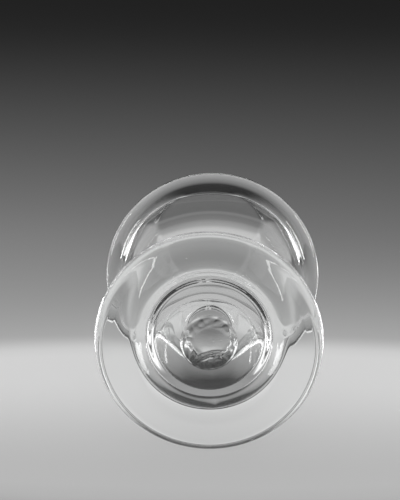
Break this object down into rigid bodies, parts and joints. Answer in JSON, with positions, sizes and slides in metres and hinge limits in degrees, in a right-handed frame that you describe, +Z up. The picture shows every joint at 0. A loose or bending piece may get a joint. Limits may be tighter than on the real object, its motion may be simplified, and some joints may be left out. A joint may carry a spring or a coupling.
{
  "type": "rummer",
  "caption": "Short-stemmed drinking glass with a fluted bowl and a flared rim, on a round foot with a pontil scar, lying on its side.",
  "frame": {"origin": "on the table, below the middle of the glass, which lies on its side as in the picture", "axes": "+Z up from the table, -Y towards the foot's underside, +Y towards the rim. The glass's own axis lies in the YZ plane and climbs about 2.3 degrees from foot to rim, because it rests on the foot's edge and on the wider lip."},
  "size_m": [0.0844, 0.087, 0.0844],
  "materials": {
    "clear_glass": "clear colourless hand-blown glass, fire-polished, faintly wavy, a few seeds",
    "broken_glass": "clear glass with a broken, conchoidal surface"
  },
  "bodies": {
    "root": {"bowl": "clear_glass", "collar": "clear_glass", "stem": "clear_glass", "foot": "clear_glass", "pontil_scar": "broken_glass"}
  },
  "joints": []
}
